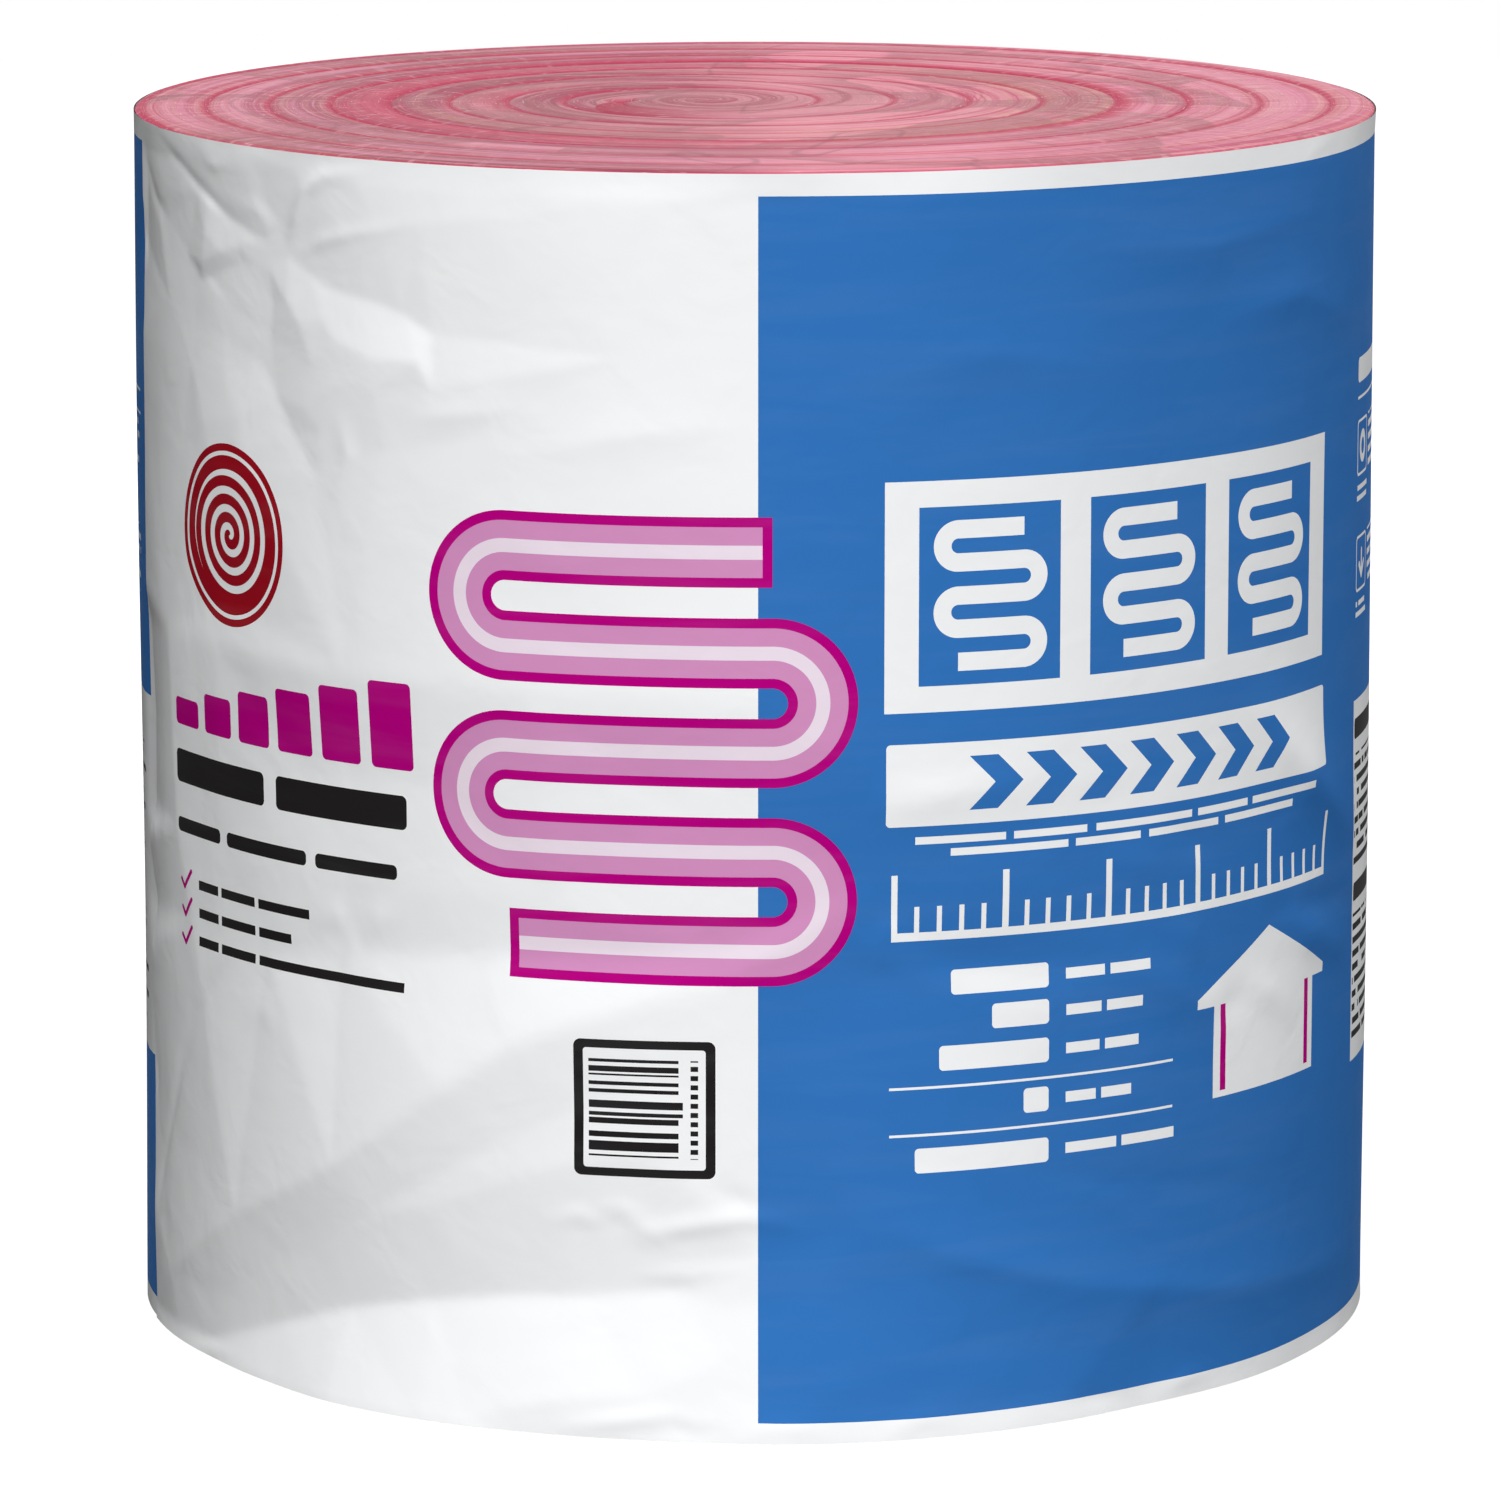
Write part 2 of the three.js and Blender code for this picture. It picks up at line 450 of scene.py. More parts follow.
def dye_and_paint_light_on_blanket(wool):
    """Darker to the left as painted shade and lighter just right of the middle as painted light, under
    streaks that follow the turn; a painted lilac highlight along the middle of the outer turns, and painted
    shade that deepens the swirl on the left.
    """
    wool.colour = DYED
    # Painted shade on the left of the end and painted light just right of its middle, set by where they lie
    # from left to right
    left_shade_mask = wool.both(wool.ramp(wool.rightward, 0.03, -0.06), wool.ramp(wool.rightward, -0.3, -0.17))
    wool.tint(LEFT_PAINTED_SHADE, left_shade_mask, 0.95)
    right_light_mask = wool.both(wool.ramp(wool.rightward, -0.01, 0.03), wool.ramp(wool.rightward, 0.13, 0.08))
    wool.tint(RIGHT_PAINTED_LIGHT, right_light_mask, 0.5)
    wool.tint(LIGHT_BAND, wool.ramp(wool.bands, 0.46, 0.66), 0.75)
    wool.tint(DARK_BAND, wool.ramp(wool.bands, 0.48, 0.32), 0.6)
    beige = wool.both(wool.ramp(wool.layers, 0.45, 0.6), wool.calc("MULTIPLY_ADD", wool.core, 0.5, 0.35))
    wool.tint(BEIGE_LAYER, beige, wool.calm)
    wool.tint(ROSE_LAYER, wool.ramp(wool.layers, 0.49, 0.36), wool.marbled)
    wool.tint(LIGHT_THREAD, wool.ramp(wool.threads, 0.54, 0.66), wool.both(wool.calm, 0.55))
    wool.tint(DARK_THREAD, wool.ramp(wool.threads, 0.46, 0.36), wool.marbled)
    wool.tint(FINE_THREAD, wool.ramp(wool.fine, 0.4, 0.3), wool.both(wool.marbled, 0.48))
    # A painted highlight in lilac along the middle of each outer turn, away from its joints
    mid_turn_highlight = wool.both(wool.ramp(wool.z, 0.006, 0.014), wool.ramp(wool.to_outer, 0.004, 0.011))
    mid_turn_highlight = wool.both(mid_turn_highlight, wool.less(1.0, wool.core))
    wool.tint(LILAC_PAINTED_HIGHLIGHT, mid_turn_highlight, wool.both(wool.ramp(wool.bands, 0.36, 0.52), 0.42))
    wool.tint(LIGHT_SWIRL, wool.ramp(wool.swirl, 0.49, 0.62), wool.both(wool.swirled, 0.7))
    wool.tint(DARK_SWIRL, wool.ramp(wool.swirl, 0.5, 0.38), wool.both(wool.swirled, 0.8))
    # Painted shade: the swirl is darker on the left side
    wool.tint(SWIRL_PAINTED_SHADE, left_shade_mask, wool.both(wool.swirled, 0.34))
    vein = wool.ramp(wool.off_level(wool.swirl, 0.455), 0.014, 0.003)
    wool.tint(SWIRL_VEIN, vein, wool.both(wool.swirled, 0.6))


def wear_and_paint_shadows(wool):
    """Painted shadow in patches that are sharp on one side, one worn stretch of a turn, and faint lines of
    painted shade along creases.
    """
    # Painted shadow: dull patches with a sharp edge on one side
    broad = wool.noise(wool.solid, 5.5, 1.5, 0.45, 0.5)
    wool.tint(PAINTED_SHADOW_PATCH, wool.both(wool.ramp(broad, 0.5, 0.51), wool.ramp(broad, 0.63, 0.5)), 0.62)
    worn = wool.both(wool.ramp(wool.turns, 3.6, 4.3), wool.ramp(wool.turns, 5.0, 4.85))
    worn = wool.both(worn, wool.ramp(wool.rightward, 0.02, 0.09))
    wool.tint(WORN, worn, wool.both(wool.ramp(wool.threads, 0.3, 0.6), 0.75))
    # Painted shade along faint crease lines
    crease = wool.noise(wool.solid, 7.0, 1.0, 0.4, 0.8)
    wool.tint(PAINTED_CREASE_SHADE, wool.ramp(wool.off_level(crease, 0.56), 0.012, 0.002), 0.36)


def dye_joints(wool):
    """Deeper colour just outside each joint, widest round the fifth turn and at the fold by the eye."""
    wave = wool.noise(wool.point(wool.both(wool.u, 6.0), 2.0, 7.0), 1.0, 1.5)
    loose_ends = wool.both(wool.less(wool.ends, 0.5), wool.both(wool.sideways, 1.2))
    frayed = wool.less(wool.calc("ADD", wool.layers, wool.threads), 1.0)
    frayed = wool.calc("ADD", frayed, loose_ends)
    fifth = wool.both(wool.ramp(wool.turns, 4.6, 5.0), wool.ramp(wool.turns, 6.0, 5.6))
    blot = wool.both(wool.ramp(wool.turns, 2.88, 2.97), wool.ramp(wool.turns, 3.14, 3.0))
    strong = wool.calc("MAXIMUM", fifth, wool.both(blot, 0.7))
    jointed = wool.ramp(wool.turns, 0.98, 1.02)

    # The soft spread of the dye
    spread = wool.calc("MULTIPLY_ADD", wool.ramp(wool.rightward, 0.06, -0.1), 0.016, 0.007)
    reach = wool.calc("MULTIPLY_ADD", strong, spread, 0.006)
    reach = wool.both(reach, wool.calc("ADD", wave, 0.6))
    loose = wool.calc("ADD", wool.z, wool.both(frayed, 0.006))
    usual = wool.calc("MULTIPLY_ADD", wool.core, -0.28, 0.5)
    strength = wool.both(wool.calc("MULTIPLY_ADD", strong, 0.42, usual), jointed)
    wool.tint(NEAR_JOINT, wool.ramp(wool.calc("DIVIDE", loose, reach), 1.2, 0.1), strength)

    # The fold at the eye, its edge and its tip
    fold_reach = wool.calc("MAXIMUM", wool.both(wool.ramp(wool.turns, 0.99, 1.15), 0.029), 0.0001)
    in_fold = wool.both(wool.ramp(wool.calc("DIVIDE", wool.z, fold_reach), 1.04, 0.94), jointed)
    wool.tint(IN_FOLD, in_fold, wool.both(wool.ramp(wool.turns, 1.34, 1.06), 0.95))
    fold_edge = wool.ramp(wool.off_level(wool.z, fold_reach), 0.0016, 0.0004)
    fold_edge = wool.both(fold_edge, wool.both(wool.ramp(wool.turns, 0.995, 1.02), jointed))
    wool.tint(FOLD_EDGE, fold_edge, wool.both(wool.ramp(wool.turns, 1.22, 1.1), 0.8))
    to_tip = wool.from_spot(joint_point(0))[2]
    wool.tint(FOLD_TIP, wool.ramp(to_tip, 0.01, 0.005), 0.9)

    # The fine line of the joint itself, and the blanket's outer edge
    fuzzy = wool.calc("ADD", wool.z, wool.both(frayed, 0.0016))
    line_width = wool.calc("MULTIPLY_ADD", fifth, 0.0036, 0.0038)
    inner_line = wool.both(wool.ramp(wool.calc("DIVIDE", fuzzy, line_width), 1.0, 0.2), jointed)
    outer_line = wool.both(wool.ramp(wool.to_outer, 0.0026, 0.0004), wool.ramp(wool.turns, 0.0, 0.04))
    line = wool.calc("MAXIMUM", inner_line, outer_line)
    firm = wool.calc("MULTIPLY_ADD", fifth, 0.65, wool.both(wave, 1.25))
    wool.tint(JOINT_LINE, line, wool.calc("MINIMUM", firm, 0.9))


def wool_finish():
    """Dyed glass wool on its cut edge: layers that run along the turn, deeper in colour at each joint."""
    material = new_material("dyed_glass_wool")
    wool = WoolFace(material)
    dye_and_paint_light_on_blanket(wool)
    wear_and_paint_shadows(wool)
    dye_joints(wool)
    wool.tint(LIGHT_END, wool.ramp(wool.ends, 0.54, 0.68), wool.both(wool.sideways, 0.28))
    wool.tint(DARK_END, wool.ramp(wool.ends, 0.46, 0.34), wool.both(wool.sideways, 0.3))
    wool.tint(LOOSE_FIBRE, wool.ramp(wool.fibres, 0.6, 0.74), 0.6)
    wool.shader.inputs["Sheen Weight"].default_value = WOOL_SHEEN
    roughness = wool.calc("MULTIPLY_ADD", wool.threads, 0.2, 0.8)
    relief = wool.calc("ADD", wool.threads, wool.calc("ADD", wool.fine, wool.fibres))
    wool.finish(roughness, WOOL_GLOSS, relief, strength=0.6, depth=1 * MM)
    return material


# ---------------------------------------------------------------- the film

# The film's grid: where each stretch of it starts, with its number of steps
FILM_STRETCHES = ((0, 172), (276 * MM, 60), (456 * MM, 85), (830 * MM, 113))
FILM_BANDS = ((FILM_FOOT, 58), (130 * MM, 78), (436 * MM, 94))

# Where the second, third and fourth of the film's materials start
ZONE_STARTS = (-160 * MM, 53 * MM, 359 * MM)

# The film's facets are flat between these creases. Each is a line of points: how far across, how high above
# the floor and how far the film stands out there, all in millimetres.
STAR = (-240, 535, -1.0)
CREASES = [
    [(-369, 583, -0.4), (-339, 571, -0.9), (-314, 560, -1.2), (-286, 548, -1.4), (-256, 540, -1.2), STAR],
    [(-352, 583, 0.0), (-332, 574, -0.2), (-306, 564, -0.4), (-278, 554, -0.6), (-254, 547, -0.7)],
    [STAR, (-230, 548, -0.5), (-224, 567, 0.3), (-215, 574, 0.6), (-196, 576, 0.6), (-178, 580, 0.2)],
    [STAR, (-224, 542, -0.5), (-203, 547, 0.4), (-182, 551, 0.7), (-159, 556, 0.8), (-128, 560, 0.8),
     (-80, 566, 0.6), (-30, 572, 0.3), (12, 576, 0)],
    [STAR, (-226, 528, -1.1), (-210, 522, -1.1), (-184, 518, -1.0), (-169, 514, -0.9), (-153, 506, -0.3)],
    [(-216, 508, 0.6), (-206, 499, 1.4), (-186, 493, 2.0), (-160, 493, 2.2), (-154, 490, 0.9)],
    [(-211, 478, 1.4), (-184, 479, 1.9), (-152, 481, 1.1)],
    [(-217, 456, 0.6), (-180, 450, 0.6), (-140, 458, 0.3)],
    [STAR, (-254, 528, -1.1), (-252, 513, -1.4), (-254, 496, -1.5), (-259, 482, -1.4), (-249, 469, -1.0),
     (-236, 453, -0.7), (-222, 436, 0)],
    [(-304, 517, -0.6), (-320, 500, -0.4), (-322, 478, 0.3), (-308, 452, 1.4), (-274, 440, 1.4)],
    [(-286, 508, -1.0), (-290, 492, -0.6), (-290, 474, 0.2), (-278, 456, 1.1)],
    [(-240, 514, 0.3), (-231, 505, 0.8), (-222, 486, 0.9), (-228, 466, 0.7)],
    [(-311, 517, -0.8), (-303, 519, -1.0), (-277, 528, -1.2), (-263, 529, -1.2), (-254, 528, -1.1)],
    [(-314, 557, -0.7), (-303, 554, -0.3), (-306, 540, 0.5), (-309, 526, 0.5), (-292, 532, 0.2),
     (-278, 536, -0.5)],
    [(-386, 559, -1.2), (-367, 548, -1.0), (-350, 542, -1.2), (-327, 528, -1.0), (-311, 517, -0.8)],
    [(-388, 580, -0.6), (-370, 568, -0.7), (-352, 555, -0.7), (-350, 542, -1.2)],
    [(-330, 583, 0.3), (-300, 580, 0.5), (-276, 576, 0.5), (-262, 580, 0.6), (-240, 578, 0.4)],
    [(-268, 563, 0), (-255, 557, -0.8), (-246, 549, -1.1)],
    [(-396, 346, -2.0), (-350, 347, 1.6), (-300, 347, 1.6), (-200, 345, 1.2), (-100, 344, 0.8),
     (0, 344, 0.6)],
    [(-396, 254, -3.4), (-345, 252, 0.4), (-300, 250, -0.8), (-205, 252, -2.6)],
    [(-165, 248, -3.0), (-121, 249, -2.8), (-95, 246, -2.8), (-79, 241, -2.8), (-56, 235, -3.0)],
    [(-262, 206, -2.6), (-212, 212, -4.4), (-176, 217, -4.6), (-130, 221, -4.4), (-71, 223, -4.0),
     (-24, 226, -3.6)],
    [(-396, 6, -0.6), (-363, 31, 0.6), (-287, 75, 1.2), (-213, 112, 2.6), (-148, 157, 2.8),
     (-113, 181, 1.8), (-83, 193, 0.8), (-51, 204, -0.6), (-16, 212, -1.8)],
    [(-352, 2, -1.0), (-300, 34, -1.6), (-250, 62, -1.4), (-194, 92, -0.3), (-150, 118, -0.2),
     (-115, 137, -0.5), (-80, 152, -1.0), (-30, 172, -1.8), (12, 186, -2.6)],
    [(-232, 66, -1.6), (-160, 99, -0.4), (-104, 121, -0.2), (-52, 136, -0.6)],
    [(-335, 2, -1.6), (-256, 28, -3.2), (-208, 44, -4.0), (-158, 55, -4.4), (-113, 62, -4.4),
     (-80, 64, -4.4), (-38, 70, -3.6), (1, 88, -1.7), (50, 100, -0.3), (104, 108, 0), (150, 104, 0)],
    [(-14, 62, -0.8), (30, 70, 1.1), (80, 74, 1.3), (130, 68, 0.7)],
    [(-14, 38, 2.6), (30, 42, 4.6), (80, 44, 4.2), (130, 40, 2.4)],
    [(-134, 4, 7.0), (-110, 12, 5.8), (-84, 17, 5.4), (-52, 20, 4.8), (-18, 21, 4.6), (30, 18, 7.6),
     (90, 16, 6.4), (150, 12, 3.4)],
]

# The foot of the film, which flares at the front
FOOT = [
    (-335, 0, -1.2), (-300, 0, 0.6), (-256, 0, 3.4), (-214, 0, 7.0), (-158, 0, 8.0), (-134, 0, 8.0),
    (-110, 0, 6.8), (-84, 0, 6.6), (-50, 0, 6.8), (-18, 0, 7.4), (12, 0, 9.6), (60, 0, 9.4),
    (110, 0, 7.2), (150, 0, 4.4),
]

# Single points between the creases
LONE_POINTS = [
    (-330, 440, 0.6), (-300, 426, 1.8), (-262, 424, 1.4), (-290, 372, 0), (-120, 420, 0.3), (-60, 500, 0),
    (-348, 300, 1.0), (-230, 297, -2.4), (-150, 298, -2.4), (-40, 296, -2.2), (-394, 300, -3.4),
    (-394, 206, -3.2), (-392, 526, -2.4), (-394, 120, -2.0), (60, 300, 0), (60, 450, 0), (-352, 480, 0.3),
    (-348, 505, -0.1), (-330, 210, 0), (80, 150, -1.6), (60, 216, -3.8), (120, 160, -1.4),
    (60, 260, -2.0), (-120, 390, 0),
]

# The stretch that holds the facets: beyond its left and right ends, and at its rim, the film lies plain
FACETS_LEFT = -402
FACETS_RIGHT = 200
RIM_HEIGHT = 584
PLAIN_HEIGHTS = (*range(0, 541, 60), RIM_HEIGHT)
PLAIN_PLACES = range(-360, 180, 60)


def fold(width, *points):
    """A narrower fold that lies over the facets: half its width, and its line as above."""
    return [(across, up, stand, width) for across, up, stand in points]


NARROW_FOLDS = [
    fold(9, (-288, 202, 0), (-309, 182, -1.0), (-328, 162, -1.2), (-346, 137, -1.2), (-381, 75, -0.8),
         (-394, 46, 0)),
    fold(9, (-390, 566, 0), (-369, 548, -0.9), (-352, 541, 0)),
    fold(5, (-369, 584, -0.3), (-339, 571, -0.3), (-286, 549, -0.25), (-244, 538, 0)),
    fold(7, (-284, 560, 0), (-266, 554, 0.5), (-252, 549, 0)),
    fold(7, (-312, 578, 0), (-296, 572, 0.8), (-282, 574, 0)),
    fold(8, (-240, 540, 0), (-234, 553, 1.4), (-227, 566, 1.6), (-216, 574, 1.3), (-188, 578, 0)),
    fold(7, (-232, 536, 0), (-216, 544, 0.8), (-196, 549, 0.6), (-160, 556, 0)),
    fold(12, (-282, 174, 0), (-263, 178, 0.8), (-252, 168, 0)),
    fold(10, (-232, 226, 0), (-214, 230, 1.0), (-200, 221, -0.6), (-188, 231, 1.0), (-168, 240, 0)),
    fold(9, (-226, 208, 0), (-204, 216, 0.6), (-190, 226, 0)),
    fold(9, (-60, 92, 0), (-34, 99, 1.6), (-4, 104, 1.4), (22, 100, 0)),
    fold(8, (-22, 121, 0), (-8, 113, -1.1), (6, 103, 0)),
    fold(9, (-58, 76, 0), (-30, 76, 1.3), (4, 84, 0)),
    fold(7, (-98, 98, 0), (-82, 103, 1.1), (-68, 96, 0)),
    fold(7, (-76, 106, 0), (-62, 107, 1.1), (-50, 98, 0.8), (-40, 86, 0)),
    fold(8, (-96, 3, 0), (-66, 8, 1.5), (-40, 12, 1.2), (-22, 7, 0)),
    fold(7, (-44, 14, 0), (-30, 4, -1.2), (-10, 2, 0)),
    fold(7, (-8, 4, 0), (10, 8, 1.0), (40, 5, 0)),
    fold(10, (-214, 420, 0), (-200, 446, 0.9), (-206, 468, 0)),
    fold(14, (-170, 466, 0), (-140, 470, 0.8), (-96, 476, 0)),
    fold(24, (-120, 452, 0), (-60, 464, 0.8), (0, 470, 0)),
    fold(22, (60, 224, 0), (110, 217, -1.9), (190, 213, 0)),
    fold(14, (36, 236, 0), (62, 226, 1.5), (84, 206, 0)),
    fold(24, (170, 215, 0), (215, 196, 1.9), (258, 168, 0)),
    fold(20, (270, 232, 0), (305, 224, 2.1), (398, 215, 0)),
    fold(36, (36, 108, 0), (100, 80, 2.6), (160, 63, 2.6), (250, 47, 2.1), (398, 34, 0)),
    fold(30, (110, 124, 0), (180, 110, -0.9), (250, 96, -0.6), (330, 76, 0)),
    fold(40, (256, 332, 0), (316, 282, 4.6), (392, 234, 0)),
    fold(18, (44, 292, 0), (84, 297, 1.4), (140, 306, 0)),
    fold(34, (40, 488, 0), (110, 500, 1.1), (190, 486, 0)),
    fold(30, (230, 505, 0), (300, 512, 1.6), (380, 490, 0)),
    fold(26, (140, 548, 0), (230, 540, 1.2), (330, 552, 0)),
    fold(16, (276, 226, 0), (300, 223, -2.2), (327, 220, -2.4), (383, 214, 0)),
    fold(18, (286, 224, 0), (318, 206, 2.4), (384, 184, 0)),
    fold(15, (206, 236, 0), (220, 218, 1.8), (232, 200, 0)),
    fold(13, (258, 196, 0), (280, 184, 1.6), (308, 165, 0)),
    fold(12, (234, 176, 0), (250, 182, -1.4), (268, 190, 0)),
    fold(13, (174, 266, 0), (190, 257, 1.5), (208, 250, 0)),
    fold(13, (204, 277, 0), (222, 266, -1.4), (240, 255, 0)),
    fold(6, (308, 575, 0), (318, 578, 0.9), (330, 582, 0.4)),
    fold(6, (334, 581, 0.3), (335, 574, -0.9), (336, 561, 0)),
    fold(6, (58, 2, 0), (72, 9, 1.0), (98, 7, 0)),
    fold(6, (150, 2, 0.4), (162, 9, -0.9), (178, 7, 0)),
    fold(7, (204, 2, 0.5), (220, 9, 1.0), (242, 8, 0)),
]


# The folds of the sides and the back: how many, and the limits that each is drawn between
SCATTERED_FOLDS = 54
SCATTER_SEED = 31
SCATTER_ACROSS = (560, 1320)
SCATTER_UP = (30, 560)
SCATTER_SLOPES = (20, 35, 150, 165, 95, 5)
SLOPE_SPREAD = 12
HALF_LENGTHS = (35, 100)
STANDS = (1.2, 3.4)
STAND_SIGNS = (1, 1, -0.8)
FOLD_WIDTHS = (16, 40)
FOLD_PARTS = (-1, -0.3, 0.35, 1)
FOLD_BEND = 0.08
FOLD_SWELL = 1.3
CREST = 1.2

# Long low waves that run round the whole film
WAVE_SET_SEED = 5
WAVE_SET = 14
WAVES_ROUND = (2, 17)
WAVE_SLANTS = (-0.02, 0.02)
WAVE_STANDS = (0.05, 0.2)

# How the folds ease away at the rim and the foot
RIM_EASE = 12
FOOT_EASE = 8
KEPT_AT_RIM = 0.3


def scattered_folds():
    """More folds for the sides and the back, of the same kind as those of the front."""
    draw = random.Random(SCATTER_SEED)
    folds = []
    for _ in range(SCATTERED_FOLDS):
        middle = draw.uniform(*SCATTER_ACROSS)
        height = draw.uniform(*SCATTER_UP)
        slope = math.radians(draw.choice(SCATTER_SLOPES) + draw.uniform(-SLOPE_SPREAD, SLOPE_SPREAD))
        half = draw.uniform(*HALF_LENGTHS)
        stand = draw.uniform(*STANDS) * draw.choice(STAND_SIGNS)
        width = draw.uniform(*FOLD_WIDTHS)
        points = []
        for part in FOLD_PARTS:
            bend = draw.uniform(-FOLD_BEND, FOLD_BEND) * half
            across = middle + part * half * math.cos(slope) + bend
            up = height + part * half * math.sin(slope) + bend
            points.append((across, up, stand * (1 - abs(part)) * FOLD_SWELL, width))
        folds.append(points)
    return folds


def fold_height(across, up, points):
    """How far one fold lifts the film at each place: a crest along the line, easing away on both sides."""
    nearest = np.full(across.shape, 1e9)
    lift = np.zeros(across.shape)
    for (u0, z0, h0, w0), (u1, z1, h1, w1) in zip(points, points[1:]):
        du, dz = u1 - u0, z1 - z0
        part = np.clip(((across - u0) * du + (up - z0) * dz) / (du * du + dz * dz), 0, 1)
        gap = np.hypot(across - u0 - part * du, up - z0 - part * dz)
        width = w0 + (w1 - w0) * part
        share = np.clip(np.sqrt(gap * gap + CREST * CREST) / width, 0, 1)
        here = (h0 + (h1 - h0) * part) * (1 - share) ** 2
        closer = gap < nearest
        lift = np.where(closer, here, lift)
        nearest = np.minimum(nearest, gap)
    return lift


def facet_height(across, up):
    """The creases joined into flat facets, with the film lying plain at the ends of that stretch."""
    plain = []
    for height in PLAIN_HEIGHTS:
        plain += [(FACETS_LEFT, height, 0), (FACETS_RIGHT, height, 0)]
    plain += [(place, RIM_HEIGHT, 0) for place in PLAIN_PLACES]
    spots, levels, joined = [], [], []
    for line in CREASES + [[point] for point in plain + FOOT + LONE_POINTS]:
        for k, (u, z, h) in enumerate(line):
            if k:
                joined.append((len(spots) - 1, len(spots)))
            spots.append(Vector((u, z)))
            levels.append(h)
    corners, _, facets, sources, _, _ = delaunay_2d_cdt(spots, joined, [], 0, 0.01)
    heights = [sum(levels[k] for k in source) / max(1, len(source)) for source in sources]
    lift = np.zeros(across.shape)
    for a, b, c in facets:
        pa, pb, pc = corners[a], corners[b], corners[c]
        area = (pb.x - pa.x) * (pc.y - pa.y) - (pc.x - pa.x) * (pb.y - pa.y)
        if abs(area) < 1e-6:
            continue
        wb = ((across - pa.x) * (pc.y - pa.y) - (pc.x - pa.x) * (up - pa.y)) / area
        wc = ((pb.x - pa.x) * (up - pa.y) - (across - pa.x) * (pb.y - pa.y)) / area
        wa = 1 - wb - wc
        inside = (wa >= 0) & (wb >= 0) & (wc >= 0)
        lift = np.where(inside, wa * heights[a] + wb * heights[b] + wc * heights[c], lift)
    return lift


def soften(grid):
    """Rounds the creases a little: each place takes a share of its neighbours."""
    padded = np.pad(grid, 1, mode="edge")
    level = (padded[:-2, 1:-1] + 2 * grid + padded[2:, 1:-1]) / 4
    padded = np.pad(level, 1, mode="edge")
    return (padded[1:-1, :-2] + 2 * level + padded[1:-1, 2:]) / 4


def film_lift(across, up):
    """How far the film stands off its cylinder, in millimetres, on a grid of places in millimetres."""
    round_it = FULL_TURN * FILM_RADIUS / MM
    lift = facet_height(across, up)
    for points in NARROW_FOLDS + scattered_folds():
        lift += fold_height(across, up, points)

    # The start of the film lies under its free edge and takes the same folds
    repeat = facet_height(across - round_it, up)
    for points in NARROW_FOLDS:
        repeat += fold_height(across - round_it, up, points)
    lift = soften(np.where(across > round_it + FACETS_LEFT, repeat, lift))

    draw = random.Random(WAVE_SET_SEED)
    for _ in range(WAVE_SET):
        waves = draw.randint(*WAVES_ROUND)
        slant = draw.uniform(*WAVE_SLANTS)
        phase = draw.uniform(0, FULL_TURN)
        stand = draw.uniform(*WAVE_STANDS)
        lift += stand * np.sin(waves * across / round_it * FULL_TURN + slant * up + phase)

    to_top = np.clip((FILM_TOP / MM - up) / RIM_EASE, 0, 1)
    to_bottom = np.clip((up - FILM_FOOT / MM) / FOOT_EASE, 0, 1)
    inward = np.minimum(lift, 0) * np.minimum(to_top, to_bottom)
    outward = np.maximum(lift, 0) * (KEPT_AT_RIM + (1 - KEPT_AT_RIM) * to_top)
    return inward + outward


def spread(stretches, end):
    """Places along a length, given as the start of each stretch and its number of steps."""
    starts = [start for start, _ in stretches] + [end]
    places = [starts[0]]
    for (start, count), stop in zip(stretches, starts[1:]):
        places += [start + (stop - start) * (k + 1) / count for k in range(count)]
    return np.array(places)


def wrap_film():
    """The film cut flat, wrapped round the roll from the free edge of the lap, with its folds."""
    run = spread(FILM_STRETCHES, FILM_LENGTH)[:, None]
    rise = spread(FILM_BANDS, FILM_TOP)[None, :]
    columns, rows = run.size - 1, rise.size - 1
    bm = bmesh.new()
    bmesh.ops.create_grid(bm, x_segments=columns, y_segments=rows, size=1)
    across = np.broadcast_to(run - LAP_FROM_FRONT, (columns + 1, rows + 1))
    up = np.broadcast_to(rise, across.shape)
    over_lap = 1 - np.clip((run - LAP_WIDTH - LAP_RISE) / LAP_RAMP, 0, 1)
    radius = FILM_RADIUS + LAP_RISE * over_lap + film_lift(across / MM, up / MM) * MM
    angle = across / FILM_RADIUS
    flat = bm.loops.layers.uv.new("Flat")
    spot = {}
    for vert in bm.verts:
        i = round((vert.co.x + 1) / 2 * columns)
        k = round((vert.co.y + 1) / 2 * rows)
        r, t = radius[i, k], angle[i, k]
        spot[vert] = (across[i, k], up[i, k])
        vert.co = (r * math.sin(t), -r * math.cos(t), up[i, k])
    for face in bm.faces:
        for loop in face.loops:
            loop[flat].uv = spot[loop.vert]
        middle = sum(spot[vert][0] for vert in face.verts) / len(face.verts)
        face.material_index = sum(middle > start for start in ZONE_STARTS)
    bmesh.ops.recalc_face_normals(bm, faces=bm.faces)
    piece = finish_mesh("printed_film", bm)
    first = piece.data.polygons[0]
    if first.normal.dot(Vector((first.center.x, first.center.y, 0))) < 0:
        piece.data.flip_normals()
    return piece


WHITE = ink(240, 241, 242)
BLUE = ink(49, 112, 183)
MAGENTA = ink(177, 1, 123)
LILAC = ink(206, 140, 187)
BLUSH = ink(232, 218, 230)
DARK_RED = ink(150, 16, 31)
BLACK = ink(33, 31, 32)
HAZE_TONE = ink(196, 202, 210)

# The blue print on the flat film, and the back's columns
BLUE_LEFT, BLUE_RIGHT = 1.5, 1475
BLUE_LOW, BLUE_HIGH = 9.7, 573
BACK_START = 385
BACK_PITCH = 156
BACK_COLUMNS = 7

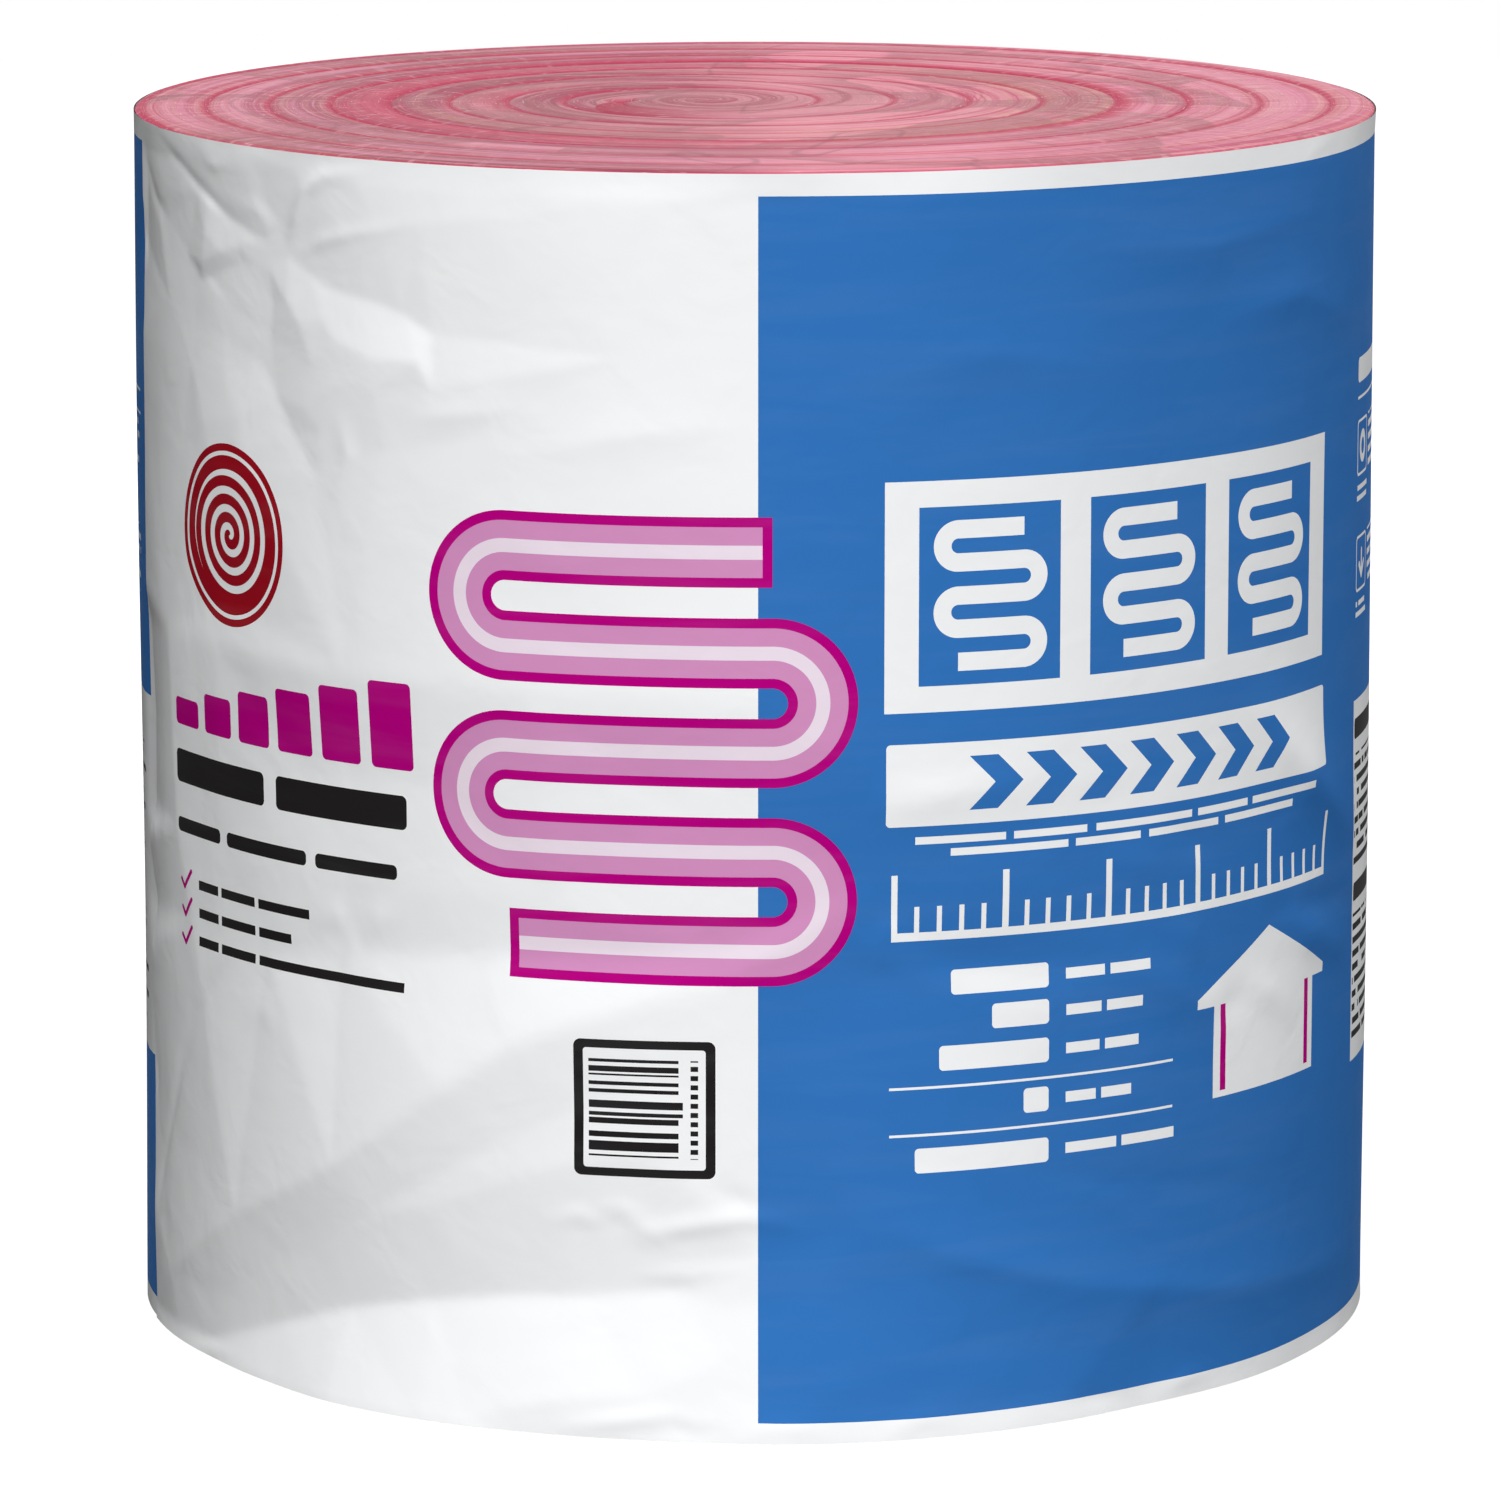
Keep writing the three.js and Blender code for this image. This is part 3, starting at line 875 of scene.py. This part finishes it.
# Pages of small print: how much of each row is a line, how close its words stand, and where its rows end
LINE_SHARE = 0.5
WORDS_PER_METRE = 130.0
WORD_GAP = 0.36
ROW_SHIFT = 7.3
END_SHIFT = 3.7
SHORT_LINE = 0.45
LINE_SPREAD = 0.9

FILM_GLOSS = 0.01
FILM_ROUGHNESS = 0.55
ROUGHNESS_SPREAD = 0.2
HAZE_ALONG = 7.0
HAZE_UP = 60.0
HAZE_AMOUNT = 0.016


class Print(Drawing):
    """Draws the sleeve's print. Places are in millimetres on the flat film."""

    def moved(self, u, z):
        """The same drawing, with its places counted from elsewhere."""
        other = copy.copy(self)
        other.u, other.z = u, z
        other.place = self.point(u, z)
        return other

    def between(self, value, low, high):
        """1 where a place, in metres, lies between two levels in millimetres."""
        return self.calc("COMPARE", value, (low + high) / 2 * MM, (high - low) / 2 * MM)

    def box(self, left, right, low, high):
        return self.both(self.between(self.u, left, right), self.between(self.z, low, high))

    def off_spot(self, across, up):
        """The way from a spot to each place."""
        return self.vector("SUBTRACT", self.place, (across * MM, up * MM, 0))

    def rounded(self, left, right, low, high, corner):
        """A bar with round corners."""
        half = ((right - left) / 2 - corner, (high - low) / 2 - corner, 0)
        off = self.vector("ABSOLUTE", self.off_spot((left + right) / 2, (low + high) / 2))
        past = self.vector("SUBTRACT", off, tuple(side * MM for side in half))
        gap = self.vector("LENGTH", self.vector("MAXIMUM", past, (0, 0, -1)))
        return self.calc("LESS_THAN", gap, corner * MM)

    def stroke(self, start, end, width):
        """A straight stroke with round ends."""
        run = ((end[0] - start[0]) * MM, (end[1] - start[1]) * MM, 0)
        off = self.off_spot(*start)
        part = self.calc("DIVIDE", self.vector("DOT_PRODUCT", off, run), run[0] ** 2 + run[1] ** 2)
        part = self.calc("MINIMUM", self.calc("MAXIMUM", part, 0.0), 1.0)
        along = self.vector("MULTIPLY", self.point(part, part), run)
        gap = self.vector("LENGTH", self.vector("SUBTRACT", off, along))
        return self.calc("LESS_THAN", gap, width / 2 * MM)

    def disc(self, across, up, radius):
        gap = self.vector("LENGTH", self.off_spot(across, up))
        return self.calc("LESS_THAN", gap, radius * MM)

    def either(self, *masks):
        whole = masks[0]
        for mask in masks[1:]:
            whole = self.calc("MAXIMUM", whole, mask)
        return whole

    def without(self, mask, hole):
        return self.both(mask, self.less(1.0, hole))

    def words(self, low, high, *spans):
        """One line of plain bars where a line of words would stand."""
        bars = [self.between(self.u, left, right) for left, right in spans]
        return self.both(self.between(self.z, low, high), self.either(*bars))

    def page(self, left, right, low, high, pitch, seed):
        """Rows of plain bars, as a page of small words would stand, with a ragged right side."""
        step = self.calc("DIVIDE", self.less(self.z, low * MM), pitch * MM)
        row = self.calc("FLOOR", step)
        line = self.calc("LESS_THAN", self.calc("FRACT", step), LINE_SHARE)
        place = self.point(self.both(self.u, WORDS_PER_METRE), self.both(row, ROW_SHIFT), seed)
        word = self.calc("GREATER_THAN", self.noise(place, 1.0, 0.0), WORD_GAP)
        ragged = self.noise(self.point(self.both(row, END_SHIFT), seed, 5.0), 1.0, 0.0)
        span = (right - left) * MM
        end = self.calc("MULTIPLY_ADD", ragged, LINE_SPREAD * span, left * MM + SHORT_LINE * span)
        kept = self.both(self.both(line, word), self.calc("LESS_THAN", self.u, end))
        return self.both(kept, self.box(left, right, low, high))

    def folded(self, middle, centre, half_run, pitch, rows, widths, cut):
        """A blanket folded to and fro in level runs, as one mask for each of its widths. Each mask is cut
        square at both ends of the blanket, by its own number from cut."""
        off = self.less(self.u, middle * MM)
        past = self.calc("MAXIMUM", self.less(self.calc("ABSOLUTE", off), half_run * MM), 0.0)
        side = self.calc("GREATER_THAN", off, 0.0)
        rise = self.less(self.z, (centre - rows * pitch / 2) * MM)
        fold = self.calc("PINGPONG", self.calc("ADD", rise, self.both(side, pitch * MM)), pitch * MM)
        gap = self.off_level(self.distance(past, fold), pitch * MM / 2)
        field = self.between(rise, 0, rows * pitch)
        in_first = self.calc("LESS_THAN", rise, pitch * MM)
        in_last = self.calc("GREATER_THAN", rise, (rows - 1) * pitch * MM)
        masks = []
        for width, back in zip(widths, cut):
            end = (half_run - back) * MM
            start_cut = self.both(in_first, self.calc("LESS_THAN", off, -end))
            last_cut = self.both(in_last, self.calc("GREATER_THAN", off, end))
            mask = self.both(field, self.calc("LESS_THAN", gap, width * MM))
            masks.append(self.without(mask, self.either(start_cut, last_cut)))
        return masks


def film_finish(name, prints):
    """White film printed in blue, with plain signs and bars in place of words."""
    material = new_material(name)
    art = Print(material, "Flat")
    art.colour = WHITE
    art.lay(BLUE, art.box(BLUE_LEFT, BLUE_RIGHT, BLUE_LOW, BLUE_HIGH))
    for add_print in prints:
        add_print(art)

    # A faint haze in level wisps, where the film is drawn thinner or thicker
    drawn_out = art.point(art.both(art.u, HAZE_ALONG), art.both(art.z, HAZE_UP), 3.0)
    haze = art.noise(drawn_out, 1.0, 3.0, 0.55, 0.3)
    art.lay(HAZE_TONE, art.both(art.ramp(haze, 0.42, 0.7), HAZE_AMOUNT))

    satin = art.noise(art.place, 9.0, 3.0, 0.6)
    roughness = art.calc("MULTIPLY_ADD", satin, ROUGHNESS_SPREAD, FILM_ROUGHNESS)
    crinkle = art.noise(art.place, 28.0, 3.0, 0.55, 0.4)
    art.finish(roughness, FILM_GLOSS, crinkle, strength=0.35, depth=1.5 * MM)
    return material


def print_badge(art):
    """A round badge with the end of a roll on it."""
    across, up = -286, 400
    badge, ring_outside, ring_inside, spiral = 43, 39.5, 37.5, 31
    pitch, line_share = 8.6, 0.42
    art.lay(DARK_RED, art.disc(across, up, badge))
    art.lay(WHITE, art.without(art.disc(across, up, ring_outside), art.disc(across, up, ring_inside)))
    aside = art.less(art.u, across * MM)
    rise = art.less(art.z, up * MM)
    turn = art.calc("DIVIDE", art.calc("ARCTAN2", rise, aside), FULL_TURN)
    coil = art.calc("DIVIDE", art.distance(aside, rise), pitch * MM)
    coil = art.calc("FRACT", art.less(coil, turn))
    art.lay(WHITE, art.both(art.calc("LESS_THAN", coil, line_share), art.disc(across, up, spiral)))


def print_ratings(art):
    """Rising blocks, bars for two lines of words, and three ticked lines."""
    blocks, first_left, first_top, foot = 6, -342, 316, 303
    block, step, rise = 24, 30.5, 5.6
    for i in range(blocks):
        left = first_left + step * i
        art.lay(MAGENTA, art.rounded(left, left + block, foot, first_top + rise * i, 2.5))
    for left, right in ((-343, -262), (-253, -170)):
        art.lay(BLACK, art.rounded(left, right, 275, 291, 3))
    for left, right in ((-343, -300), (-294, -232), (-226, -176)):
        art.lay(BLACK, art.rounded(left, right, 251, 258, 2.5))

    # The lines, from the lowest up, each with its tick
    low, row, thick = 195, 13.5, 2.2
    line_low, line_height, line_ends = 198.6, 4.6, (-172, -244, -231)
    count = art.calc("FLOOR", art.calc("DIVIDE", art.less(art.z, low * MM), row * MM))
    ticks = art.moved(art.u, art.less(art.z, art.both(count, row * MM)))
    start, turn, end = (-341, 201), (-337.5, 197.5), (-330, 206)
    tick = art.either(ticks.stroke(start, turn, thick), ticks.stroke(turn, end, thick))
    art.lay(MAGENTA, art.both(tick, art.box(-345, -326, low, low + len(line_ends) * row)))
    for i, right in enumerate(line_ends):
        line = line_low + row * i
        art.lay(BLACK, art.words(line, line + line_height, (-322, -303), (-300, -271), (-268, right)))


def print_blanket(art):
    """A folded blanket across the edge of the blue."""
    widths, cut = (16, 11.5, 3.2), (0, 4.5, 4.5)
    masks = art.folded(-54, 320, half_run=62, pitch=46, rows=5, widths=widths, cut=cut)
    for colour, mask in zip((MAGENTA, LILAC, BLUSH), masks):
        art.lay(colour, mask)


def print_code(art):
    """A code panel of bars that stand for nothing."""
    panel, window = (-84, -18, 122, 186), (-79.5, -22.5, 126, 182)
    bars, long_bars, side_marks = (-77, -35, 131, 177), (-77, -33, 150, 158), (-29.5, -26, 131, 177)
    bar, gap_share = 0.9, 0.45
    mark, mark_share = 4.3, 0.55
    art.lay(BLACK, art.rounded(*panel, 3.5))
    art.lay(WHITE, art.rounded(*window, 1.5))
    chance = art.add("ShaderNodeTexWhiteNoise", noise_dimensions="1D")
    art.links.new(art.calc("FLOOR", art.calc("DIVIDE", art.z, bar * MM)), chance.inputs["W"])
    dark = art.calc("GREATER_THAN", chance.outputs["Value"], gap_share)
    art.lay(BLACK, art.both(dark, art.either(art.box(*bars), art.box(*long_bars))))
    dark = art.calc("LESS_THAN", art.calc("FRACT", art.calc("DIVIDE", art.z, mark * MM)), mark_share)
    art.lay(BLACK, art.both(dark, art.box(*side_marks)))


def print_wall(art):
    """A framed wall with a folded blanket in each bay, an arrow band, small lines and a scale."""
    left, right, low, high = 59, 331, 337, 443
    post, rail, bay, bays = 16, 12, 85.3, 3
    wall = art.either(art.box(left, right, low, low + rail), art.box(left, right, high - rail, high))
    for i in range(bays + 1):
        wall = art.either(wall, art.box(left + bay * i, left + bay * i + post, low, high))
    art.lay(WHITE, wall)
    for i in range(bays):
        shift = bay * i
        filling = art.folded(109.7 + shift, 390, half_run=16, pitch=15.2, rows=5, widths=(4.2,), cut=(0,))[0]
        art.lay(WHITE, art.both(filling, art.box(78 + shift, 141.5 + shift, 350, 430)))

    # Arrow heads on a band, with two lines of words below it
    band, arrows = (60, 333, 284.5, 322.6), (98.4, 294.6, 291, 316)
    arrow_middle, arrow_step, arrow_share = 303.5, 28, 0.5
    art.lay(WHITE, art.rounded(*band, 2))
    slant = art.off_level(art.z, arrow_middle * MM)
    phase = art.calc("FRACT", art.calc("DIVIDE", art.calc("ADD", art.u, slant), arrow_step * MM))
    art.lay(BLUE, art.both(art.calc("LESS_THAN", phase, arrow_share), art.box(*arrows)))
    art.lay(WHITE, art.words(276, 279.5, (74, 118), (122, 160), (165, 222), (226, 262), (266, 318)))
    art.lay(WHITE, art.words(270, 273.5, (91, 150), (154, 190), (195, 240), (245, 299)))

    # A scale: its base line, then short and long marks, each with half the gap between two of them
    left, right, base, top, first_mark = 63, 335.4, 231, 235, 64.3
    art.lay(WHITE, art.box(left, right, base, top))
    along = art.less(art.u, first_mark * MM)
    for half_gap, half_mark, height in ((5.4, 1.2, 12), (27, 1.6, 27)):
        mark = art.calc("LESS_THAN", art.calc("PINGPONG", along, half_gap * MM), half_mark * MM)
        art.lay(WHITE, art.both(mark, art.box(left, right, top, top + height)))


def print_table(art):
    """Bars in the rows of a table, and a house with its side walls marked."""
    names_end, figures, first_share, gap = 141, 150, 0.45, 3
    name_height, figure_low, figure_high = 11.5, 3, 8
    rows = ((205, 92, 196), (188, 112, 192), (170, 86, 190), (147, 128, 186), (123, 74, 212))
    for low, left, right in rows:
        art.lay(WHITE, art.rounded(left, names_end, low, low + name_height, 2))
        first_end = figures + (right - figures) * first_share
        spans = (figures, first_end), (first_end + gap, right)
        art.lay(WHITE, art.words(low + figure_low, low + figure_high, *spans))
    for line in (162, 140.1):
        art.lay(WHITE, art.box(62, 211, line, line + 1.2))

    # The house: its roof over its body, and the walls
    ridge, ridge_height, slope, eaves = 281, 216, 0.5, 184
    lean = art.off_level(art.u, ridge * MM)
    roof_top = art.less(ridge_height * MM, art.both(lean, slope))
    roof = art.both(art.calc("LESS_THAN", art.z, roof_top), art.box(226, 336, eaves, ridge_height))
    art.lay(WHITE, art.either(roof, art.box(238, 324, 140, 186)))
    for wall in (243, 315):
        art.lay(MAGENTA, art.box(wall, wall + 4, 143, eaves))


def print_back(art):
    """The back: columns of framed signs with lines beside them, and a white band of small print."""
    pale_band = (383, 1490, 130, 306)
    art.lay(WHITE, art.box(*pale_band))
    from_start = art.less(art.u, BACK_START * MM)
    column = art.calc("FLOOR", art.calc("DIVIDE", from_start, BACK_PITCH * MM))
    cell = art.moved(art.less(from_start, art.both(column, BACK_PITCH * MM)), art.z)
    back_end = BACK_START + BACK_PITCH * BACK_COLUMNS
    field = art.box(BACK_START, back_end, BLUE_LOW, BLUE_HIGH)

    # Framed signs: a round one above and an arrow below
    side, edge, middle, thick = 27, 1.3, 13.5, 3
    ring_frame, arrow_frame, tip = 414, 358, (middle, 365)
    frames, holes = [], []
    for low in (ring_frame, arrow_frame):
        frames.append(cell.rounded(0, side, low, low + side, 3))
        holes.append(cell.rounded(edge, side - edge, low + edge, low + side - edge, 2))
    ring_middle = (middle, ring_frame + middle)
    ring = art.without(cell.disc(*ring_middle, 8), cell.disc(*ring_middle, 4))
    shaft = cell.stroke((middle, 377), (middle, 366), thick)
    barbs = [cell.stroke((middle + across, 371), tip, thick) for across in (-6, 6)]
    arrow = art.either(shaft, *barbs)
    signs = art.either(art.without(art.either(*frames), art.either(*holes)), ring, arrow)
    beside = (cell.page(33, 138, 415, 441, 6.2, 3.0), cell.page(33, 138, 359, 385, 6.2, 8.0))
    below = (cell.page(0, 30, 402, 410, 5.0, 1.0), cell.page(0, 30, 346, 354, 5.0, 2.0))
    signs = art.either(signs, *beside, *below)
    art.lay(WHITE, art.both(signs, field))
    for left, right in ((0, 62), (67, 118), (123, 190)):
        art.lay(WHITE, art.rounded(BACK_START + left, BACK_START + right, 459, 471, 2.5))
    art.lay(WHITE, art.box(BACK_START, back_end - 18, 451, 452.4))

    # Small print in columns, each under a heavy bar
    bars = (cell.rounded(0, 74, 287, 297, 2), cell.rounded(0, 52, 208, 217, 2))
    pages = (cell.page(0, 138, 226, 280, 6.6, 4.0), cell.page(0, 138, 141, 202, 6.6, 6.0))
    art.lay(BLACK, art.both(art.either(*bars, *pages), field))


# ---------------------------------------------------------------- the object

blanket = wind_blanket()
blanket.data.materials.append(wool_finish())
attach(blanket, "root")
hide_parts("wool_roll")

film = wrap_film()
ZONES = {
    "printed_film_left": (print_badge, print_ratings),
    "printed_film_front": (print_blanket, print_code),
    "printed_film_right": (print_wall, print_table),
    "printed_film_back": (print_back,),
}
for zone, prints in ZONES.items():
    film.data.materials.append(film_finish(zone, prints))
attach(film, "root")
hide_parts("film_sleeve")


# ---------------------------------------------------------------- floor, light and camera

FLOOR_REACH = 6
FLOOR_TONE = 0.045
FLOOR_ROUGHNESS = 0.9
FLOOR_GLOW = 0.96
GLOW_FADE = (0.6, 1.8)
WORLD_FILL = 0.012
PURE_WHITE = (1, 1, 1, 1)

# Each lamp's azimuth and elevation in degrees, its distance and side in metres, and its power
LAMPS = {
    "key": (0, 46, 25, 8.2, 8560),
    "right_rim": (112, 18, 1.6, 0.8, 6.5),
    "back": (180, 6, 3.2, 1.0, 46),
}

CAMERA_PLACE = (0, -4.0399, 1.0092)
CAMERA_PITCH = 10.411
CAMERA_TURN = 0.033
LENS = 202.0
SENSOR = 36
VIEW_END = 50


def seen_plain(net):
    """1 where a thing is seen by the camera or in a reflection, and 0 where it only lights the others."""
    path = net.add("ShaderNodeLightPath").outputs
    level = path["Is Camera Ray"]
    for ray in ("Is Glossy Ray", "Is Transmission Ray"):
        level = net.calc("MAXIMUM", level, path[ray])
    return level


def plain_floor():
    """A floor that is seen as white, a little softer near the roll, and takes the roll's shadow."""
    bm = bmesh.new()
    bmesh.ops.create_grid(bm, x_segments=1, y_segments=1, size=FLOOR_REACH)
    floor = finish_mesh("floor", bm)
    material = new_material("pale_floor")
    net = Net(material.node_tree)
    shader = net.nodes["Principled BSDF"]
    shader.inputs["Base Color"].default_value = (FLOOR_TONE, FLOOR_TONE, FLOOR_TONE, 1)
    shader.inputs["Roughness"].default_value = FLOOR_ROUGHNESS
    shader.inputs["Emission Color"].default_value = PURE_WHITE
    away = net.vector("LENGTH", net.add("ShaderNodeTexCoord").outputs["Object"])
    glow = net.calc("MULTIPLY", seen_plain(net), net.ramp(away, *GLOW_FADE, FLOOR_GLOW, 1.0))
    net.links.new(glow, shader.inputs["Emission Strength"])
    floor.data.materials.append(material)


def soft_world():
    """A world that is seen as white and lights the roll only faintly."""
    world = bpy.data.worlds.new("studio")
    bpy.context.scene.world = world
    world.use_nodes = True
    net = Net(world.node_tree)
    background = net.nodes["Background"]
    background.inputs["Color"].default_value = PURE_WHITE
    level = net.calc("MULTIPLY_ADD", seen_plain(net), 1.0 - WORLD_FILL, WORLD_FILL)
    net.links.new(level, background.inputs["Strength"])


def soft_lamp(name, azimuth, elevation, distance, side, power):
    """A square lamp aimed at the roll's middle. Azimuth 0 is the front, and it grows to the right."""
    aim = Vector((0, 0, ROLL_HEIGHT / 2))
    a, e = math.radians(azimuth), math.radians(elevation)
    out = Vector((math.sin(a) * math.cos(e), -math.cos(a) * math.cos(e), math.sin(e)))
    data = bpy.data.lights.new(name, "AREA")
    data.shape = "SQUARE"
    data.size = side
    data.energy = power
    lamp = bpy.data.objects.new(name, data)
    lamp.location = aim + out * distance
    lamp.rotation_euler = out.to_track_quat("Z", "Y").to_euler()
    bpy.context.collection.objects.link(lamp)


def set_camera():
    data = bpy.data.cameras.new("camera")
    data.sensor_width = SENSOR
    data.lens = LENS
    data.clip_end = VIEW_END
    camera = bpy.data.objects.new("camera", data)
    camera.location = CAMERA_PLACE
    camera.rotation_euler = (math.radians(90 - CAMERA_PITCH), 0, math.radians(CAMERA_TURN))
    bpy.context.collection.objects.link(camera)
    bpy.context.scene.camera = camera


plain_floor()
soft_world()
for lamp_name, settings in LAMPS.items():
    soft_lamp(lamp_name, *settings)
set_camera()
bpy.context.scene.view_settings.view_transform = "Standard"
